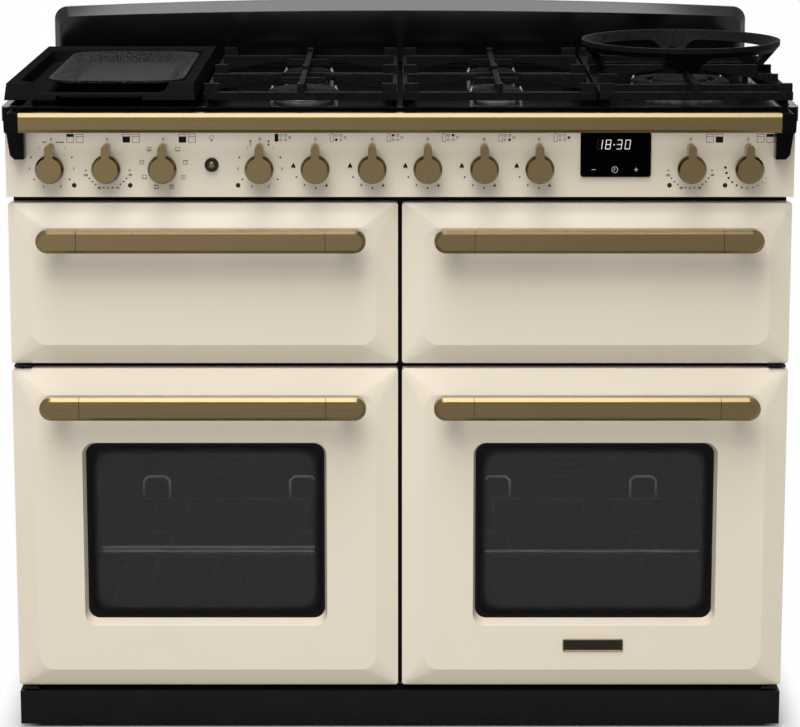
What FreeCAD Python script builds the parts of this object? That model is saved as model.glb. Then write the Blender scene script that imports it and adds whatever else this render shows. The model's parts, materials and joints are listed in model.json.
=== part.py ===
import FreeCAD, Part
import math
import os

# A 110 cm dual-fuel range cooker with four front compartments and a five-burner hob.
# Millimetres. X runs to the right, Y to the back, Z up. The floor is Z = 0 and the raised
# field of the doors lies in the plane Y = 0.

V = FreeCAD.Vector
AX, AY, AZ = V(1, 0, 0), V(0, 1, 0), V(0, 0, 1)
os.makedirs("parts", exist_ok=True)

# ---- driving dimensions ----
door_span = 1098.0          # over both doors
door_gap = 5.8              # between left and right doors
hob_width = 1102.0
hob_front, hob_rear = -20.0, 606.0
hob_top = 905.0
skirt_depth = 20.0          # turned-down edge of the hob deck
well_floor = 897.0          # sunken floor of the hob deck
upstand_end, upstand_crown = 988.0, 1000.0
body_half = 545.0           # outside of the side panels
body_front, body_rear = 44.0, 590.0
floor_pan = 32.0            # underside of the chassis tray
plinth_low, plinth_high = 5.0, 54.0
lower_door = (62.4, 529.2)
upper_door = (537.0, 766.4)
panel_low, panel_high = 776.5, 893.0
bevel = 12.0                # how far the raised field stands proud of the door's edge
skin = 2.0                  # pressed steel of the doors and panel
door_back = 30.0            # rear edge of the door skins
liner_back = 38.0           # rear face of the door liners
frame_face = 42.0           # front face of the steel front frame
support_top = 935.0         # plane the pans stand on
bar_low, bar_high = 912.0, 923.0
support_half = 134.0        # half the width of one pan support
support_depth = 482.0
zone_x = (-416.0, -138.0, 138.0, 411.0)
row_pitch = 119.5           # between the five finger rows of a pan support
handle_length, handle_height = 457.0, 33.0
handle_face, handle_back = -50.0, -30.0
handle_cap = 56.0           # length of each handle end cap
handle_x = 276.0
upper_handle_z, lower_handle_z = 720.8, 483.2
rail_half = 520.0
rail_low, rail_high = 877.0, 904.0
knob_z = 818.8
knob_neck_r, knob_r, knob_face_r = 17.5, 20.0, 17.0
knob_rear, knob_disc, knob_edge, knob_front = -3.0, -18.0, -28.0, -34.0
lever_half, lever_top = 5.7, 853.2
spindle_r, bore_r = 3.0, 3.05
gas_rail_z, gas_inlet_z = 806.0, 800.0
pin_r, pin_bore_r = 4.0, 4.05
gas_knobs = (-117.5, -38.5, 38.5, 117.0, 193.5)
switch_knobs = (-485.0, -407.0, -329.0, -195.0, 404.0, 484.0)
button_x, button_z = -262.0, 822.0
neon_x = (-454.0, -376.0, -225.6, 375.5, 453.0)
neon_z = 793.0
clock = (251.0, 349.0, 805.0, 868.0)
cavity = (86.0, 476.0, 118.0, 472.0)       # inside of the right oven: x, x, z, z
cavity_rear = 470.0
grill_box = (-492.0, -58.0, 556.0, 742.0)
slow_box = (84.0, 468.0, 566.0, 734.0)
upper_rear = 480.0
enamel = 2.0                # thickness of the oven and chamber walls
hinge_y = 16.0
side_hinge_x = 533.0
drop_hinge = (18.0, 551.0)  # y, z


# ---- shapes ----
def box(x0, x1, y0, y1, z0, z1):
    return Part.makeBox(x1 - x0, y1 - y0, z1 - z0, V(x0, y0, z0))


def cyl(r, a, b):
    a, b = V(*a), V(*b)
    return Part.makeCylinder(r, (b - a).Length, a, b - a)


def cone(r0, r1, a, b):
    a, b = V(*a), V(*b)
    return Part.makeCone(r0, r1, (b - a).Length, a, b - a)


def tube(r_out, r_in, a, b):
    return cyl(r_out, a, b).cut(cyl(r_in, a, b))


def wire(r, a, b):
    """A thin rod drawn with eight flats."""
    a, b = V(*a), V(*b)
    axis = (b - a).normalize()
    side = axis.cross(AZ if abs(axis.z) < 0.9 else AX).normalize()
    up = axis.cross(side)
    ring = []
    for i in range(8):
        t = math.pi * (i + 0.5) / 4
        ring.append(a + side * (r * math.cos(t)) + up * (r * math.sin(t)))
    return Part.Face(Part.makePolygon(ring + ring[:1])).extrude(b - a)


def poly(points, sweep):
    pts = [V(*p) for p in points]
    return Part.Face(Part.makePolygon(pts + pts[:1])).extrude(V(*sweep))


def poly_xz(points, y0, y1):
    return poly([(x, y0, z) for x, z in points], (0, y1 - y0, 0))


def poly_yz(points, x0, x1):
    return poly([(x0, y, z) for y, z in points], (x1 - x0, 0, 0))


def loop_xz(x0, x1, z0, z1, r, y):
    """Outline of a rectangle with rounded corners, standing in the plane Y = y."""
    k = r * (1 - math.sqrt(0.5))
    p = [V(x0 + r, y, z0), V(x1 - r, y, z0), V(x1, y, z0 + r), V(x1, y, z1 - r),
         V(x1 - r, y, z1), V(x0 + r, y, z1), V(x0, y, z1 - r), V(x0, y, z0 + r)]
    mid = [V(x1 - k, y, z0 + k), V(x1 - k, y, z1 - k), V(x0 + k, y, z1 - k), V(x0 + k, y, z0 + k)]
    edges = []
    for i in range(4):
        edges.append(Part.makeLine(p[2 * i], p[2 * i + 1]))
        edges.append(Part.Arc(p[2 * i + 1], mid[i], p[(2 * i + 2) % 8]).toShape())
    return Part.Wire(edges)


def slab_xz(x0, x1, z0, z1, r, y0, y1):
    return Part.Face(loop_xz(x0, x1, z0, z1, r, y0)).extrude(V(0, y1 - y0, 0))


def slab_xy(x0, x1, y0, y1, r, z0, z1):
    """A plate lying flat, with rounded corners."""
    flat = slab_xz(x0, x1, y0, y1, r, 0, -(z1 - z0))
    flat.rotate(V(0, 0, 0), AX, -90)
    flat.translate(V(0, 0, z0))
    return flat


def lofted(a, b):
    return Part.makeLoft([a, b], True, True)


def mirrored(shape):
    return shape.mirror(V(0, 0, 0), AX)


def pair(shape):
    return [shape, mirrored(shape)]


def union(shapes):
    first, rest = shapes[0], shapes[1:]
    return first.fuse(rest).removeSplitter() if rest else first


def save(name, *shapes):
    shape = shapes[0] if len(shapes) == 1 else Part.makeCompound(list(shapes))
    shape.exportStep("parts/" + name + ".step")


# ---- chassis and casing ----
tray = box(-543, 543, 46, 588, floor_pan, 62).cut(box(-541, 541, 48, 586, floor_pan + 2, 63))
feet, nuts = [], []
for x in (-500, 500):
    tray = tray.cut(cyl(5.2, (x, 80, 30), (x, 80, 36)))
    tray = tray.cut(box(x - 11.5, x + 11.5, 517, 563, 30, 36))
    pad = cone(19, 16, (x, 80, 0), (x, 80, 8))
    feet.append(pad.fuse(cyl(5, (x, 80, 8), (x, 80, 56))))
    nuts.append(cyl(9, (x, 80, 24), (x, 80, floor_pan)).cut(cyl(5, (x, 80, 20), (x, 80, 40))))
forks = []
for x in (-500, 500):
    for side in (-1, 1):
        forks.append(poly_yz([(515, floor_pan), (565, floor_pan), (548, 12), (532, 12)],
                             x + side * 13 - 1.5, x + side * 13 + 1.5))
    forks.append(cyl(4, (x - 18, 540, 20), (x + 18, 540, 20)))
forks = [union(forks[i:i + 3]) for i in (0, 3)]
lower_web = box(-1.5, 1.5, 48, 586, floor_pan + 2, 530)
mid_shelf = box(-543, 543, 46, 588, 530, 533).fuse(box(-528, 528, body_front, 46, 530, 533)).removeSplitter()
upper_web = box(-1.5, 1.5, 48, 586, 533, 770)
save("base_chassis", tray, *feet, *nuts, *forks, lower_web, mid_shelf, upper_web)

roller = []
for x in (-500, 500):
    wheel = cyl(20, (x - 10, 540, 20), (x + 10, 540, 20))
    wheel = wheel.cut(tube(16, 8, (x - 11, 540, 20), (x - 7, 540, 20)))
    wheel = wheel.cut(tube(16, 8, (x + 7, 540, 20), (x + 11, 540, 20)))
    roller.append(wheel.cut(cyl(4.05, (x - 11, 540, 20), (x + 11, 540, 20))))
save("rear_rollers", *roller)

side = box(-body_half, -543, body_front, body_rear, 30, 893)
side = union([side, box(-543, -529, body_front, body_front + 2, 64, 891),
              box(-543, -520, body_front, 586, 893, 895),
              box(-body_half, -543, body_front, 586, 893, 895)])
for k in range(7):
    side = side.cut(box(-546, -542, 470, 560, 700 + 20 * k, 706 + 20 * k))
save("side_panels", *pair(side))

back = box(-543, 543, 588, body_rear, 40, 893)
for k in range(6):
    for x in (-300, 0):
        back = back.cut(box(x - 60, x + 60, 586, 592, 640 + 16 * k, 646 + 16 * k))
back = back.cut(cyl(13, (500, 580, 800), (500, 595, 800)))
lid = slab_xz(-470, -330, 130, 220, 10, body_rear, 603)
save("rear_cover", back, lid)

# The front frame is built up of flat rails and uprights that leave the five openings free.
frame_half = 543.0
hatch_half, hatch_low, hatch_high = 515.0, 782.0, 882.0     # the opening behind the control panel
rail_levels = ((56.5, cavity[2]), (cavity[3], grill_box[2]), (grill_box[3], hatch_low), (hatch_high, 893))
strips = [(-frame_half, frame_half, low, high) for low, high in rail_levels]
for a, b in ((-frame_half, -cavity[1]), (-cavity[0], cavity[0]), (cavity[1], frame_half)):
    strips.append((a, b, cavity[2], cavity[3]))
for a, b in ((-frame_half, grill_box[0]), (grill_box[1], slow_box[0]), (slow_box[1], frame_half)):
    strips.append((a, b, grill_box[2], grill_box[3]))
strips.append((slow_box[0], slow_box[1], grill_box[2], slow_box[2]))
strips.append((slow_box[0], slow_box[1], slow_box[3], grill_box[3]))
strips += [(a, b, hatch_low, hatch_high) for a, b in ((-frame_half, -hatch_half), (hatch_half, frame_half))]
frame = [box(a, b, frame_face, body_front, low, high) for a, b, low, high in strips]
hinges = []
low_plate = box(521, 545, 8, frame_face, 56.5, 59.5)
high_plate = box(521, 545, 8, frame_face, 531.6, 534.6)
low_pin = cyl(pin_r, (side_hinge_x, hinge_y, 59.5), (side_hinge_x, hinge_y, 76))
high_pin = cyl(pin_r, (side_hinge_x, hinge_y, 516), (side_hinge_x, hinge_y, 531.6))
for plate in (low_plate.fuse(low_pin), high_plate.fuse(high_pin)):
    hinges += pair(plate)
hy, hz = drop_hinge
for x, d in ((62, 1), (490, -1)):
    arm = box(x, x + 4, hy - 6, frame_face, hz - 5, hz + 5)
    a = x + 4 if d > 0 else x
    hinges.append(arm.fuse(cyl(pin_r, (a, hy, hz), (a + 11 * d, hy, hz))))
save("front_frame", *frame, *hinges)

kick = box(-547.5, 547.5, 6, 40, plinth_low, plinth_high)
kick = kick.cut(box(-545.5, 545.5, 8, 41, plinth_low + 2, plinth_high - 2))
for x in (-420, 420):
    kick = kick.fuse(box(x - 12, x + 12, 7, 46, 36, 38))
save("plinth", kick.removeSplitter())


# ---- hob ----
half = hob_width / 2
deck = slab_xy(-half, half, hob_front, hob_rear, 10, hob_top - skirt_depth, hob_top)
hollow = slab_xy(-half + 2, half - 2, hob_front + 2, hob_rear - 2, 8, hob_top - skirt_depth - 1, 903)
hollow = hollow.cut(slab_xy(-543, 543, -12, 572, 20, well_floor - 2, 906))
deck = deck.cut(hollow).cut(slab_xy(-541, 541, -10, 570, 18, well_floor, 906))
burners = ((zone_x[1], row_pitch + 1.5, 48.5), (zone_x[1], 3 * row_pitch + 1.5, 34.7),
           (zone_x[2], row_pitch + 1.5, 35.7), (zone_x[2], 3 * row_pitch + 1.5, 34.0),
           (zone_x[3], 2 * row_pitch + 1.5, 71.8))
for x, y, r in burners:
    deck = deck.cut(cyl(0.55 * r, (x, y, 890), (x, y, 900)))
save("hob_deck", deck)


def crown_loop(inset, low, top_end, top_mid, y):
    """Front outline of the upstand: square feet, rounded shoulders, crowned top."""
    x, r = half - 3 - inset, 20 - 0.5 * inset
    k = r * (1 - math.sqrt(0.5))
    p = [V(-x, y, low), V(x, y, low), V(x, y, top_end - r), V(x - r, y, top_end),
         V(r - x, y, top_end), V(-x, y, top_end - r)]
    return Part.Wire([
        Part.makeLine(p[0], p[1]), Part.makeLine(p[1], p[2]),
        Part.Arc(p[2], V(x - k, y, top_end - k), p[3]).toShape(),
        Part.Arc(p[3], V(0, y, top_mid), p[4]).toShape(),
        Part.Arc(p[4], V(k - x, y, top_end - k), p[5]).toShape(), Part.makeLine(p[5], p[0])])


front_loop = crown_loop(9, hob_top, upstand_end - 14, upstand_crown - 17, 584)
rear_loop = crown_loop(0, hob_top, upstand_end, upstand_crown, 597)
upstand = lofted(front_loop, rear_loop).fuse(Part.Face(rear_loop).extrude(V(0, 9, 0)))
upstand = upstand.removeSplitter().cut(box(-530, 530, 587, 607, 904, 960))
for k in range(-6, 7):
    upstand = upstand.cut(box(k * 76 - 30, k * 76 + 30, 595, 607, 964, 970))
save("rear_upstand", upstand)

cap_seat = 909.0            # top of the burner heads' teeth, where the caps lie
wok_seat = 911.5            # the same for the raised inner head of the wok burner
wok_hole, wok_inner = 50.0, 41.0


def flame_slots(head, x, y, r0, r1, low, count):
    """Cut a ring of flame slots through the rim of a burner head."""
    for i in range(count):
        slot = box(r0, r1, -1.2, 1.2, low, low + 6)
        slot.rotate(V(0, 0, 0), AZ, 360.0 / count * (i + 0.5))
        slot.translate(V(x, y, 0))
        head = head.cut(slot)
    return head


def burner_cap(x, y, r, z):
    cap = cyl(r, (x, y, z), (x, y, z + 3)).fuse(cone(r, r - 4, (x, y, z + 3), (x, y, z + 5.5)))
    return cap.removeSplitter()


heads, caps = [], []
for x, y, r in burners:
    is_wok = r > 60
    rim = cyl(0.95 * r, (x, y, 902), (x, y, cap_seat))
    cap = burner_cap(x, y, r, cap_seat)
    if is_wok:
        trench = tube(wok_hole + 4, wok_inner - 3, (x, y, 904), (x, y, cap_seat))
        rim = rim.cut(trench).fuse(cyl(wok_inner - 3, (x, y, 904), (x, y, wok_seat)))
        cap = cap.cut(cyl(wok_hole, (x, y, 900), (x, y, 920)))
        caps.append(burner_cap(x, y, wok_inner, wok_seat))
    caps.append(cap)
    head = cyl(0.82 * r, (x, y, well_floor), (x, y, 902)).fuse(rim)
    head = head.removeSplitter().cut(cyl(0.42 * r, (x, y, 896), (x, y, 902)))
    head = flame_slots(head, x, y, 0.84 * r, r, cap_seat - 4.5, 18 if is_wok else 12)
    if is_wok:
        head = flame_slots(head, x, y, wok_inner - 9, wok_inner, wok_seat - 4.5, 12)
    heads.append(head)
    for a in (35, 145):
        c, s = math.cos(math.radians(a)), math.sin(math.radians(a))
        ex, ey = x + (r + 7) * c, y + (r + 7) * s
        heads.append(cyl(3, (ex, ey, well_floor), (ex, ey, 910)).fuse(cyl(1.2, (ex, ey, 910), (ex, ey, 914))))
save("burner_heads", *heads)
save("burner_caps", *caps)


def finger(cx, y, side, tip, high=bar_low):
    """A rib from a side bar towards the burner, its underside rising to the tip."""
    root = cx + side * (support_half - 6)
    end = cx + side * tip
    return poly_xz([(root, high), (root, support_top), (end, support_top), (end, support_top - 6)],
                   y - 4, y + 4)


def support_frame(cx):
    x0, x1, d = cx - support_half, cx + support_half, support_depth
    rows = [support_depth / 2 + k * row_pitch for k in (-2, -1, 0, 1, 2)]
    parts = [box(x0, x1, 0, 12, bar_low, bar_high), box(x0, x1, d - 12, d, bar_low, bar_high),
             box(x0, x0 + 12, 0, d, bar_low, bar_high), box(x1 - 12, x1, 0, d, bar_low, bar_high)]
    for xa, xb in ((x0 + 1, x0 + 21), (x1 - 21, x1 - 1)):
        parts += [box(xa, xb, 1, 11, bar_low, support_top), box(xa, xb, d - 11, d - 1, bar_low, support_top),
                  box(xa, xb, d / 2 - 5, d / 2 + 5, bar_low, support_top)]
    for xc in (x0 + 10, x1 - 10):
        for yc in (10, d - 10):
            parts.append(cyl(4.5, (xc, yc, well_floor), (xc, yc, bar_low)))
    return parts, rows


def two_burner_support(cx):
    parts, rows = support_frame(cx)
    d = support_depth
    parts.append(box(cx - support_half, cx + support_half, d / 2 - 5, d / 2 + 5, bar_low, bar_high))
    for y in (rows[1], rows[3]):
        parts += [finger(cx, y, -1, 31), finger(cx, y, 1, 31)]
        parts.append(box(cx - 33, cx + 33, y - 4, y + 4, 921, 930))
    parts.append(box(cx - 4, cx + 4, 0, d, 921, 931))
    for y0, y1 in ((0, 24), (d / 2 - 20, d / 2 + 20), (d - 24, d)):
        parts.append(box(cx - 4.5, cx + 4.5, y0, y1, bar_low, support_top))
    return union(parts)


def wok_support(cx):
    parts, rows = support_frame(cx)
    d = support_depth
    for y in (96, d - 96):
        parts.append(box(cx - support_half, cx + support_half, y - 5, y + 5, bar_low, bar_high))
    for y in (rows[1], rows[3]):
        for side in (-1, 1):
            parts.append(finger(cx, y, side, 100, 916))
    parts += [finger(cx, rows[2], -1, 26), finger(cx, rows[2], 1, 26)]
    for ya, yb in ((0, 165), (d, d - 165)):
        parts.append(poly_yz([(ya, bar_low), (ya, support_top), (yb, support_top), (yb, support_top - 7)],
                             cx - 4.5, cx + 4.5))
    return union(parts)


save("pan_support_left", two_burner_support(zone_x[1]))
save("pan_support_centre", two_burner_support(zone_x[2]))
save("pan_support_right", wok_support(zone_x[3]))

wx, wy = zone_x[3], support_depth / 2
ring_profile = [(145, 973), (139, 973), (113.5, 941), (113.5, support_top), (119.5, support_top), (145, 966)]
ring_pts = [V(wx + r, wy, z) for r, z in ring_profile]
ring = Part.Face(Part.makePolygon(ring_pts + ring_pts[:1])).revolve(V(wx, wy, 0), AZ, 360)
window_top = 959.0
corner_r = 23.0             # radius of the upper corners of the ring's four windows
leg_angle = 7.5             # half of the angle that a leg takes up at its neck
window = [(150, window_top), (100, window_top), (100, 930), (150, 930)]
window_pts = [V(wx + r, wy, z) for r, z in window]
gap = Part.Face(Part.makePolygon(window_pts + window_pts[:1])).revolve(V(wx, wy, 0), AZ, 90 - 2 * leg_angle)
round_z = window_top - corner_r
corner = box(wx + 95, wx + 155, wy, wy + corner_r, round_z, window_top + 1)
corner = corner.cut(cyl(corner_r, (wx + 90, wy + corner_r, round_z), (wx + 160, wy + corner_r, round_z)))
far_corner = corner.mirror(V(wx, wy, 0), AY)
far_corner.rotate(V(wx, wy, 0), AZ, 90 - 2 * leg_angle)
gap = gap.cut(corner).cut(far_corner)
for q in range(4):
    turned = gap.copy()
    turned.rotate(V(wx, wy, 0), AZ, leg_angle + 90 * q)
    ring = ring.cut(turned)
for q in range(4):
    lug = box(wx - 3.5, wx + 3.5, wy - 122.5, wy - 116.5, support_top, 951)
    lug.rotate(V(wx, wy, 0), AZ, 90 * q)
    ring = ring.fuse(lug)
save("wok_ring", ring.removeSplitter())

gx0, gx1, gy0, gy1 = -549.0, -284.0, 0.0, 499.0
foot_loop = [(gx0, gy0), (gx1, gy0), (gx1, gy1), (gx0, gy1)]
top_loop = [(gx0 + 3, gy0 + 4), (gx1 - 2, gy0 + 4), (gx1 - 2, gy1 - 2), (gx0 + 3, gy1 - 2)]
low_wire = Part.makePolygon([V(x, y, bar_low) for x, y in foot_loop + foot_loop[:1]])
top_wire = Part.makePolygon([V(x, y, support_top) for x, y in top_loop + top_loop[:1]])
cradle = lofted(low_wire, top_wire)
ledge_z = 917.0             # the plate rests on the ledge round the cradle's window
cradle = cradle.cut(slab_xy(gx0 + 18, gx1 - 17, 20, 447, 30, ledge_z, 936))
cradle = cradle.cut(slab_xy(-449, -345, 70, 356, 12, 911, 918))
dip = poly_xz([(-513, 936), (-510, 931), (-503, 923), (-494, 921), (-338, 921), (-329, 923), (-323, 931),
               (-320, 936)], -2, 25)
cradle = cradle.cut(dip).cut(box(-477, -357, -2, 30, 911, 918))
for x in (-507, -290):
    for y in (18, 470):
        cradle = cradle.fuse(cyl(5, (x, y, well_floor), (x, y, bar_low)))
save("griddle_cradle", cradle.removeSplitter())


def dished(low_loop, high_loop, z0, z1):
    """A block that widens upwards from one rounded rectangle (x, x, y, y, radius) to another."""
    block = lofted(loop_xz(*low_loop, -z0), loop_xz(*high_loop, -z1))
    block.rotate(V(0, 0, 0), AX, -90)
    return block


rim = (-494, -303, 25, 413, 45)
plate = dished((-461, -333, 56, 370, 30), rim, ledge_z, 933).fuse(slab_xy(*rim, 933, 936.5))
pan = dished((-457, -337, 62, 364, 27), (-489, -308, 30, 408, 40), 921, 937)
save("griddle_plate", plate.removeSplitter().cut(pan))


# ---- control panel, rail and gas ----
panel = box(-549, 549, 0, frame_face, panel_low, panel_high)
panel = panel.cut(box(-547, 547, skin, 43, panel_low + 2, panel_high - 2))
for x in gas_knobs + switch_knobs:
    panel = panel.cut(cyl(6, (x, -1, knob_z), (x, 3, knob_z)))
panel = panel.cut(cyl(8, (button_x, -1, button_z), (button_x, 3, button_z)))
for x in neon_x:
    panel = panel.cut(cyl(2.6, (x, -1, neon_z), (x, 3, neon_z)))
panel = panel.cut(box(clock[0] + 6, clock[1] - 6, -1, 3, clock[2] + 6, clock[3] - 4))
save("control_panel", panel)

glass = slab_xz(clock[0], clock[1], clock[2], clock[3], 4, -3, 0)
module = box(clock[0] + 7, clock[1] - 7, 0, 28, clock[2] + 7, clock[3] - 5)
save("clock_display", glass, module)

section = [(-82, 882), (-82, 899), (-77, rail_high), (-65, rail_high), (-60, 899), (-60, 882),
           (-65, rail_low), (-77, rail_low)]
save("handrail", poly_yz(section, -rail_half, rail_half))

arm = poly_xz([(-548, 885), (-547.3, 870), (-543.8, 868), (-539.7, 838.3), (-533.5, 832.2),
               (-rail_half, 832.2), (-rail_half, 885)], -22, 0)
arm = arm.fuse(box(-534.5, -rail_half, -84, -22, rail_low, rail_high))
save("handrail_brackets", *pair(arm.removeSplitter()))

taps = []
for x in gas_knobs:
    tap = box(x - 14, x + 14, 10, 44, knob_z - 16, knob_z + 16)
    tap = tap.fuse(cyl(9, (x, skin, knob_z), (x, 10, knob_z)))
    taps.append(tap.cut(cyl(bore_r, (x, 1, knob_z), (x, 34, knob_z))))
cup_z = 868
pipes = []
for x, (bx, by, r) in zip(gas_knobs, burners):
    pipe_z = 857 if by < 200 else 846
    cup = cyl(0.5 * r, (bx, by, cup_z), (bx, by, well_floor))
    pipes.append(union([wire(4, (x, 30, knob_z + 16), (x, 30, pipe_z + 4)),
                        wire(4, (x, 30, pipe_z), (bx, by, pipe_z)),
                        wire(4, (bx, by, pipe_z - 3), (bx, by, cup_z + 1)),
                        cup.cut(cyl(0.44 * r, (bx, by, 880), (bx, by, 900)))]))
run = cyl(9, (-135, 53, gas_rail_z), (500, 53, gas_rail_z))
run = run.fuse(cyl(9, (500, 53, gas_inlet_z), (500, 606, gas_inlet_z)))
run = run.fuse(Part.makeSphere(11, V(500, 53, (gas_rail_z + gas_inlet_z) / 2)))
inlet = cyl(10.48, (500, 606, gas_inlet_z), (500, 622, gas_inlet_z))
nut = cyl(14, (500, 594, gas_inlet_z), (500, 604, gas_inlet_z))
save("gas_manifold", union([run, inlet, nut]), *taps, *pipes)

switches = []
for x in switch_knobs:
    body = box(x - 19, x + 19, 12, 40, knob_z - 19, knob_z + 19)
    body = body.fuse(cyl(8, (x, skin, knob_z), (x, 12, knob_z)))
    switches.append(body.cut(cyl(bore_r, (x, 1, knob_z), (x, 34, knob_z))))
bezel = tube(9.8, 5.75, (button_x, -3, button_z), (button_x, 0, button_z))
sleeve = tube(7.9, 5.75, (button_x, 0, button_z), (button_x, 14, button_z))
push = box(button_x - 11, button_x + 11, 14, 38, button_z - 11, button_z + 11)
push = push.cut(cyl(2.05, (button_x, 13, button_z), (button_x, 30, button_z)))
switches += [union([bezel, sleeve]), push]
save("control_switches", *switches)

stem_r, stem_face = 5.6, -4.0
dome_r = 6.35               # the dome is part of a ball that meets the stem's edge
ball = Part.makeSphere(dome_r, V(button_x, stem_face + math.sqrt(dome_r ** 2 - stem_r ** 2), button_z))
dome = ball.common(box(button_x - 9, button_x + 9, -20, stem_face, button_z - 9, button_z + 9))
stem = cyl(stem_r, (button_x, stem_face, button_z), (button_x, 8, button_z))
save("light_button", union([dome, stem, cyl(2, (button_x, 8, button_z), (button_x, 24, button_z))]))


def knob(name, x):
    """A keyhole-shaped knob: a disc on a thinner neck, with a lever that stands over the disc."""
    profile = [(0, knob_rear), (knob_neck_r, knob_rear), (knob_neck_r, knob_disc), (knob_r, knob_disc),
               (knob_r, knob_edge), (knob_face_r, knob_front), (0, knob_front)]
    points = [V(x + r, y, knob_z) for r, y in profile]
    body = Part.Face(Part.makePolygon(points + points[:1])).revolve(V(x, 0, knob_z), AY, 360)
    lever = box(x - lever_half, x + lever_half, knob_front, -8, knob_z, lever_top - lever_half)
    tip = cyl(lever_half, (x, knob_front, lever_top - lever_half), (x, -8, lever_top - lever_half))
    body = union([body, lever, tip])
    body = body.cut(tube(14, 6, (x, knob_rear, knob_z), (x, -14, knob_z)))
    body = body.cut(cyl(spindle_r, (x, knob_rear, knob_z), (x, -26, knob_z)))
    shaft = cyl(spindle_r, (x, -26, knob_z), (x, 32, knob_z))
    save(name, body, shaft)


switch_names = ("knob_grill", "knob_left_temperature", "knob_left_function", "knob_griddle",
                "knob_right_temperature", "knob_slow_cook")
for name, x in zip(switch_names, switch_knobs):
    knob(name, x)
for i, x in enumerate(gas_knobs):
    knob("knob_burner_%d" % (i + 1), x)


# ---- ovens and chambers ----
def chamber(b, rear, holes):
    x0, x1, z0, z1 = b
    t = enamel
    shell = box(x0 - t, x1 + t, body_front, rear + t, z0 - t, z1 + t)
    shell = shell.cut(box(x0, x1, body_front - 1, rear, z0, z1))
    for r, x, z in holes:
        shell = shell.cut(cyl(r, (x, rear - 1, z), (x, rear + t + 1, z)))
    return shell


fan_x, fan_z = (cavity[0] + cavity[1]) / 2, (cavity[2] + cavity[3]) / 2 + 10
lamp_x, lamp_z = cavity[1] - 40, cavity[3] - 40
oven = chamber(cavity, cavity_rear, [(6, fan_x, fan_z), (16, lamp_x, lamp_z)])
save("oven_cavities", *pair(oven))
save("grill_chamber", chamber(grill_box, upper_rear, []))
save("slow_cook_cavity", chamber(slow_box, upper_rear, []))

elements = []
fan_ring = tube(98, 92, (fan_x, 452, fan_z), (fan_x, 458, fan_z))
for x in (fan_x - 92, fan_x + 92):
    fan_ring = fan_ring.fuse(box(x - 3, x + 3, 452, cavity_rear, fan_z - 3, fan_z + 3))
elements += pair(fan_ring.removeSplitter())
lamp = cyl(15, (lamp_x, 462, lamp_z), (lamp_x, 484, lamp_z))
lamp = lamp.fuse(cyl(21, (lamp_x, 462, lamp_z), (lamp_x, cavity_rear, lamp_z)))
elements += pair(lamp.removeSplitter())
gx_a, gx_b, gz = grill_box[0] + 40, grill_box[1] - 40, grill_box[3] - 14
coil = []
for k in range(5):
    y = 80 + 85 * k
    coil.append(box(gx_a, gx_b, y, y + 7, gz, gz + 7))
    if k < 4:
        x = gx_b if k % 2 == 0 else gx_a
        coil.append(box(x - 7 if k % 2 == 0 else x, x if k % 2 == 0 else x + 7, y, y + 92, gz, gz + 7))
for y in (80, 420):
    coil.append(box(gx_a + 60, gx_a + 66, y, y + 7, gz + 7, grill_box[3]))
elements.append(union(coil))
pad_x, pad_y = (slow_box[0] + slow_box[1]) / 2, 260
elements.append(box(pad_x - 120, pad_x + 120, pad_y - 120, pad_y + 120, slow_box[2] - 8, slow_box[2] - 2))
save("heating_elements", *elements)

flat = math.cos(math.pi / 8)    # half width over the flats of a rod, for a radius of one
rung_z, rung_pitch = 153.4, 44.75
rung_r, shelf_r, cross_r = 2.5, 3.0, 2.0
shelf_front, shelf_rear = 60.0, 352.0
shelf_wires = 7
shelf_x = (cavity[0] + 10, cavity[1] - 10)


def ladder(wall, s):
    """Two posts on the oven wall at X = wall and seven rungs, s pointing into the oven."""
    parts = []
    for y in (70, 430):
        parts.append(wire(3, (wall + 4 * s, y, cavity[2] + 24), (wall + 4 * s, y, cavity[3] - 24)))
        for z in (cavity[2] + 24, cavity[3] - 30):
            parts.append(box(min(wall, wall + 2 * s), max(wall, wall + 2 * s), y - 4, y + 4, z, z + 6))
    for k in range(7):
        z = rung_z + rung_pitch * k
        parts.append(wire(rung_r, (wall + 8 * s, 68, z), (wall + 8 * s, 432, z)))
    return union(parts)


def shelf(z):
    """A frame of thick wire with thinner wires from front to back."""
    xa, xb = shelf_x
    parts = [wire(shelf_r, (xa, y, z), (xb, y, z)) for y in (shelf_front, shelf_rear)]
    parts += [wire(shelf_r, (x, shelf_front - 2, z), (x, shelf_rear + 2, z)) for x in (xa, xb)]
    for k in range(1, shelf_wires + 1):
        x = xa + (xb - xa) * k / (shelf_wires + 1)
        parts.append(wire(cross_r, (x, shelf_front, z), (x, shelf_rear, z)))
    return union(parts)


def stop_loop(x0, x1, z):
    """A wire bow on the rear wire of a shelf, which keeps a dish from sliding off the back."""
    base, top = z + shelf_r * flat, z + 38
    bow = [(x0, base), (x0, top - 8), (x0 + 8, top), (x1 - 8, top), (x1, top - 8), (x1, base)]
    inner = [(x0 + 4, base), (x0 + 4, top - 9.7), (x0 + 9.7, top - 4), (x1 - 9.7, top - 4),
             (x1 - 4, top - 9.7), (x1 - 4, base)]
    return poly_xz(bow + inner[::-1], shelf_rear - 2, shelf_rear + 2)


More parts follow.
